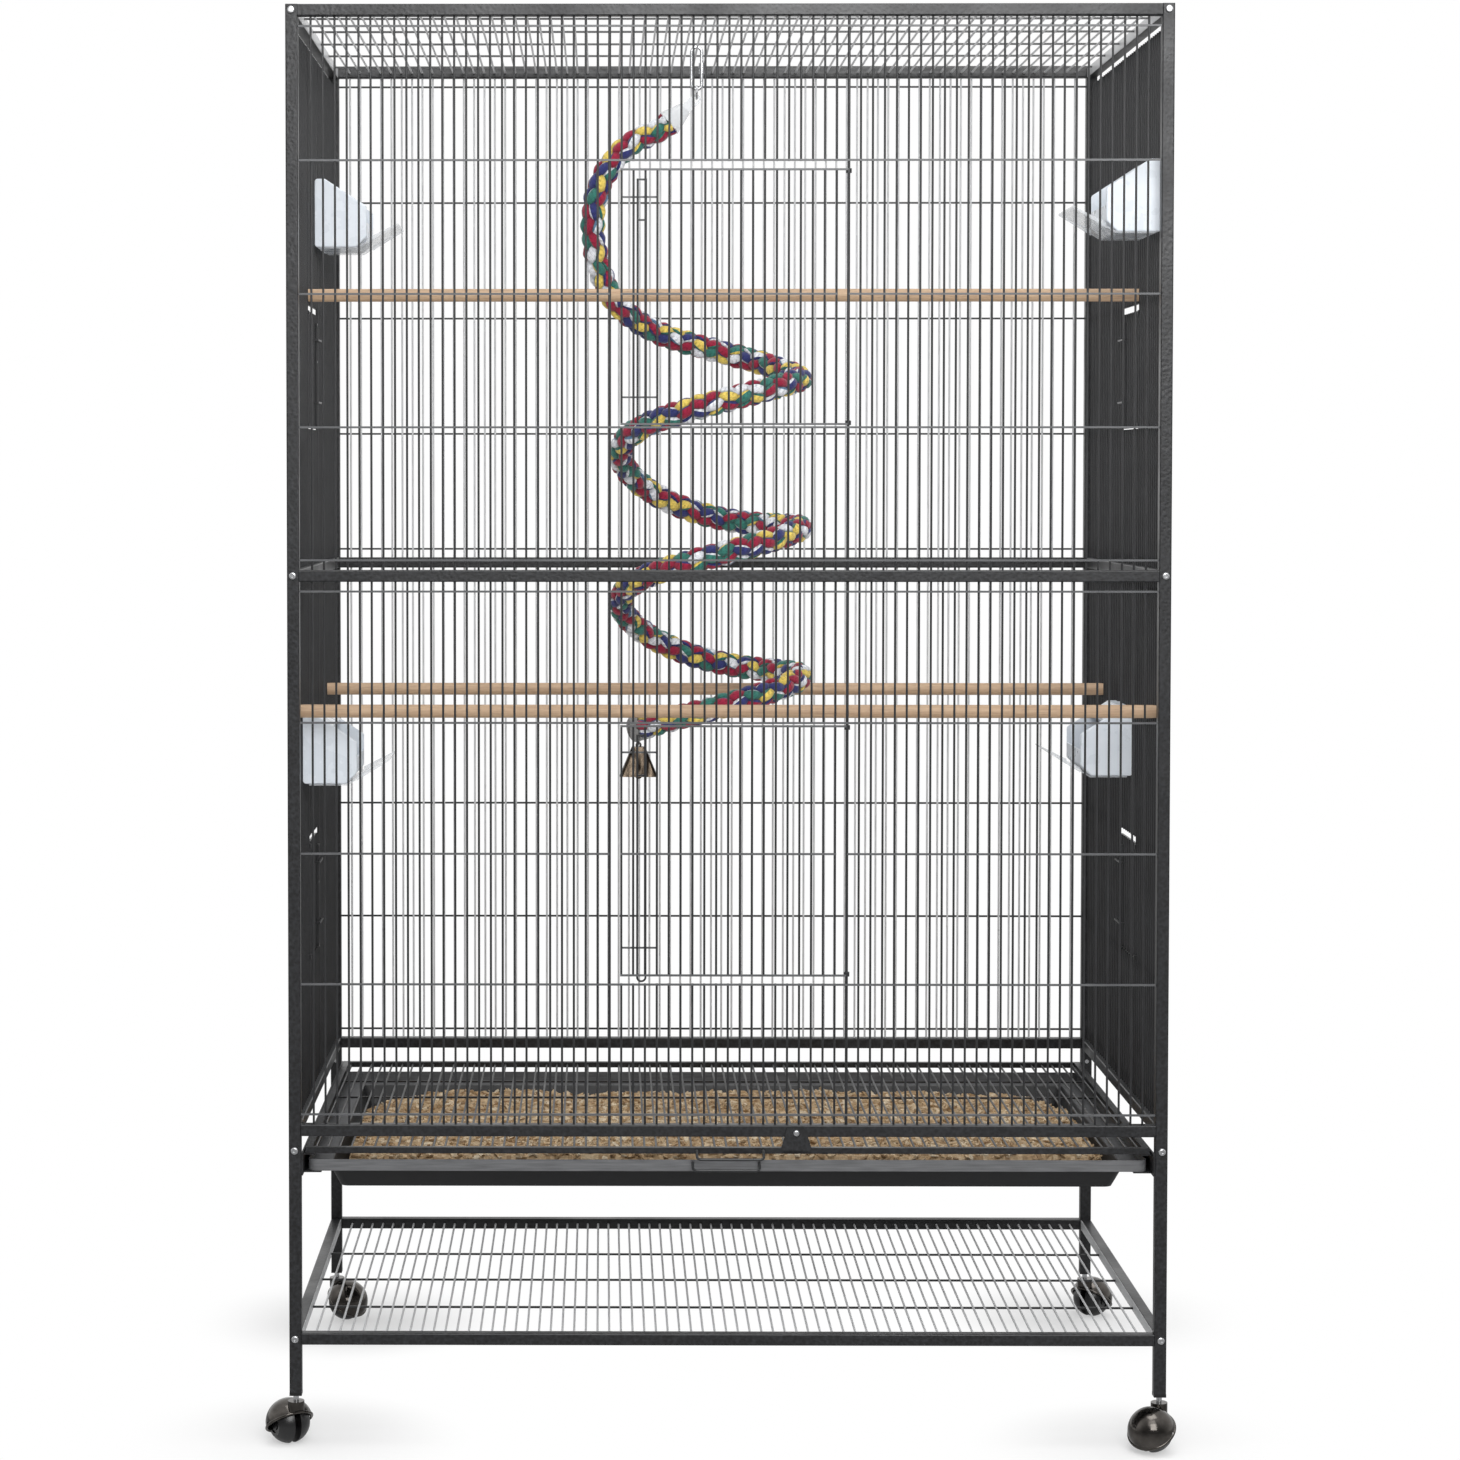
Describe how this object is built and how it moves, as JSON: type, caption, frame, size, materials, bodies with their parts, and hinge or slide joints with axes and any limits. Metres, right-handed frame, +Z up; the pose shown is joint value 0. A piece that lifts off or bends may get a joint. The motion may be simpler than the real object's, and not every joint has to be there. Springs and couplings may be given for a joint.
{
  "type": "bird cage on stand",
  "caption": "Tall rolling wire flight cage on a tube stand, with hinged front and side doors, slide-out grate and tray, storage shelf, perches, feeder cups and a wound rope perch.",
  "frame": {"origin": "on the floor, under the middle of the cage", "axes": "+Z up, front of the cage towards -Y, +X to the right seen from the front"},
  "size_m": [0.8384, 0.5139, 1.2958],
  "materials": {
    "hammered_paint": "hammered powder coat",
    "painted_wire": "powder coated wire",
    "tray_paint": "powder coated sheet",
    "zinc": "bright zinc",
    "dark_chrome": "dark chrome",
    "black_nylon": "moulded",
    "dowel": "sanded dowel",
    "white_plastic": "moulded",
    "clear_plastic": "clear moulded",
    "cotton_rope": "braided",
    "bronze": "antiqued"
  },
  "bodies": {
    "cage": {"post_front_left": "hammered_paint", "post_front_right": "hammered_paint", "post_back_left": "hammered_paint", "post_back_right": "hammered_paint", "mid_rails": "hammered_paint", "lower_rails": "hammered_paint", "roof_panel": "hammered_paint", "storage_shelf": "hammered_paint", "tray_runners": "hammered_paint", "front_upper_panel": "painted_wire", "front_lower_panel": "painted_wire", "back_upper_panel": "painted_wire", "back_lower_panel": "painted_wire", "left_upper_panel": "painted_wire", "left_lower_panel": "painted_wire", "right_upper_panel": "painted_wire", "right_lower_panel": "painted_wire", "frame_bolts": "zinc", "keeper_screw": "zinc", "caster_stems": "zinc", "leg_plugs": "black_nylon", "upper_perch": "dowel", "front_lower_perch": "dowel", "back_lower_perch": "dowel", "left_upper_feeder": "white_plastic", "right_upper_feeder": "white_plastic", "left_lower_feeder": "white_plastic", "right_lower_feeder": "white_plastic", "feeder_shields": "clear_plastic"},
    "upper_door": {"upper_door": "painted_wire"},
    "upper_door_latch": {"upper_door_latch": "painted_wire"},
    "lower_door": {"lower_door": "painted_wire"},
    "lower_door_latch": {"lower_door_latch": "painted_wire"},
    "left_upper_door": {"left_upper_door": "painted_wire"},
    "left_upper_door_latch": {"left_upper_door_latch": "painted_wire"},
    "left_lower_door": {"left_lower_door": "painted_wire"},
    "left_lower_door_latch": {"left_lower_door_latch": "painted_wire"},
    "right_upper_door": {"right_upper_door": "painted_wire"},
    "right_upper_door_latch": {"right_upper_door_latch": "painted_wire"},
    "right_lower_door": {"right_lower_door": "painted_wire"},
    "right_lower_door_latch": {"right_lower_door_latch": "painted_wire"},
    "grate": {"floor_grate": "hammered_paint", "grate_pull": "painted_wire"},
    "tray": {"litter_tray": "tray_paint", "tray_pull": "painted_wire"},
    "keeper": {"keeper": "hammered_paint"},
    "caster_front_left": {"caster_hood_front_left": "dark_chrome"},
    "wheels_front_left": {"caster_wheels_front_left": "black_nylon"},
    "caster_front_right": {"caster_hood_front_right": "dark_chrome"},
    "wheels_front_right": {"caster_wheels_front_right": "black_nylon"},
    "caster_back_left": {"caster_hood_back_left": "dark_chrome"},
    "wheels_back_left": {"caster_wheels_back_left": "black_nylon"},
    "caster_back_right": {"caster_hood_back_right": "dark_chrome"},
    "wheels_back_right": {"caster_wheels_back_right": "black_nylon"},
    "rope": {"rope_perch": "cotton_rope", "rope_end_caps": "clear_plastic", "quick_link": "zinc"},
    "bell": {"bell": "bronze"},
    "clapper": {"bell_clapper": "bronze"}
  },
  "joints": [
    {"name": "upper_door_hinge", "type": "hinge", "parent": "cage", "child": "upper_door", "pos_m": [0.1065, -0.2247, 1.03905], "axis": [0, 0, 1], "range_deg": [0, 110]},
    {"name": "upper_door_latch_slide", "type": "slide", "parent": "upper_door", "child": "upper_door_latch", "axis": [0, 0, 1], "range_m": [-0.009, 0.006]},
    {"name": "lower_door_hinge", "type": "hinge", "parent": "cage", "child": "lower_door", "pos_m": [0.1065, -0.2247, 0.5379], "axis": [0, 0, 1], "range_deg": [0, 110]},
    {"name": "lower_door_latch_slide", "type": "slide", "parent": "lower_door", "child": "lower_door_latch", "axis": [0, 0, 1], "range_m": [-0.009, 0.006]},
    {"name": "left_upper_door_hinge", "type": "hinge", "parent": "cage", "child": "left_upper_door", "pos_m": [-0.3897, -0.0852, 0.97964], "axis": [0, 0, 1], "range_deg": [0, 110]},
    {"name": "left_upper_door_latch_slide", "type": "slide", "parent": "left_upper_door", "child": "left_upper_door_latch", "axis": [0, 0, 1], "range_m": [-0.009, 0.006]},
    {"name": "left_lower_door_hinge", "type": "hinge", "parent": "cage", "child": "left_lower_door", "pos_m": [-0.3897, -0.0852, 0.47902], "axis": [0, 0, 1], "range_deg": [0, 110]},
    {"name": "left_lower_door_latch_slide", "type": "slide", "parent": "left_lower_door", "child": "left_lower_door_latch", "axis": [0, 0, 1], "range_m": [-0.009, 0.006]},
    {"name": "right_upper_door_hinge", "type": "hinge", "parent": "cage", "child": "right_upper_door", "pos_m": [0.3897, -0.0852, 0.97964], "axis": [0, 0, -1], "range_deg": [0, 110]},
    {"name": "right_upper_door_latch_slide", "type": "slide", "parent": "right_upper_door", "child": "right_upper_door_latch", "axis": [0, 0, 1], "range_m": [-0.009, 0.006]},
    {"name": "right_lower_door_hinge", "type": "hinge", "parent": "cage", "child": "right_lower_door", "pos_m": [0.3897, -0.0852, 0.47902], "axis": [0, 0, -1], "range_deg": [0, 110]},
    {"name": "right_lower_door_latch_slide", "type": "slide", "parent": "right_lower_door", "child": "right_lower_door_latch", "axis": [0, 0, 1], "range_m": [-0.009, 0.006]},
    {"name": "grate_slide", "type": "slide", "parent": "cage", "child": "grate", "axis": [0, -1, 0], "range_m": [0, 0.4]},
    {"name": "tray_slide", "type": "slide", "parent": "cage", "child": "tray", "axis": [0, -1, 0], "range_m": [0, 0.4]},
    {"name": "keeper_turn", "type": "hinge", "parent": "cage", "child": "keeper", "pos_m": [0.0614, -0.231, 0.287], "axis": [0, 1, 0], "range_deg": [-95, 95]},
    {"name": "caster_front_left_swivel", "type": "hinge", "parent": "cage", "child": "caster_front_left", "pos_m": [-0.3895, -0.2245, 0.039], "axis": [0, 0, 1], "continuous": true},
    {"name": "wheels_front_left_roll", "type": "hinge", "parent": "caster_front_left", "child": "wheels_front_left", "pos_m": [-0.39692, -0.21263, 0.019], "axis": [-0.848, -0.5299, 0], "continuous": true},
    {"name": "caster_front_right_swivel", "type": "hinge", "parent": "cage", "child": "caster_front_right", "pos_m": [0.3895, -0.2245, 0.039], "axis": [0, 0, 1], "continuous": true},
    {"name": "wheels_front_right_roll", "type": "hinge", "parent": "caster_front_right", "child": "wheels_front_right", "pos_m": [0.38107, -0.23568, 0.019], "axis": [0.7986, -0.6018, 0], "continuous": true},
    {"name": "caster_back_left_swivel", "type": "hinge", "parent": "cage", "child": "caster_back_left", "pos_m": [-0.3895, 0.2245, 0.039], "axis": [0, 0, 1], "continuous": true},
    {"name": "wheels_back_left_roll", "type": "hinge", "parent": "caster_back_left", "child": "wheels_back_left", "pos_m": [-0.37832, 0.21607, 0.019], "axis": [0.6018, 0.7986, 0], "continuous": true},
    {"name": "caster_back_right_swivel", "type": "hinge", "parent": "cage", "child": "caster_back_right", "pos_m": [0.3895, 0.2245, 0.039], "axis": [0, 0, 1], "continuous": true},
    {"name": "wheels_back_right_roll", "type": "hinge", "parent": "caster_back_right", "child": "wheels_back_right", "pos_m": [0.3985, 0.23522, 0.019], "axis": [-0.766, 0.6428, 0], "continuous": true},
    {"name": "rope_swing", "type": "hinge", "parent": "cage", "child": "rope", "pos_m": [-0.0213, 0.045, 1.2907], "axis": [0, 1, 0], "range_deg": [-10, 10]},
    {"name": "bell_swing", "type": "hinge", "parent": "rope", "child": "bell", "pos_m": [-0.07835, -0.03923, 0.62089], "axis": [0, 1, 0], "range_deg": [-30, 30]},
    {"name": "clapper_swing", "type": "hinge", "parent": "bell", "child": "clapper", "pos_m": [-0.07835, -0.03923, 0.61449], "axis": [0, 1, 0], "range_deg": [-20, 20]}
  ]
}
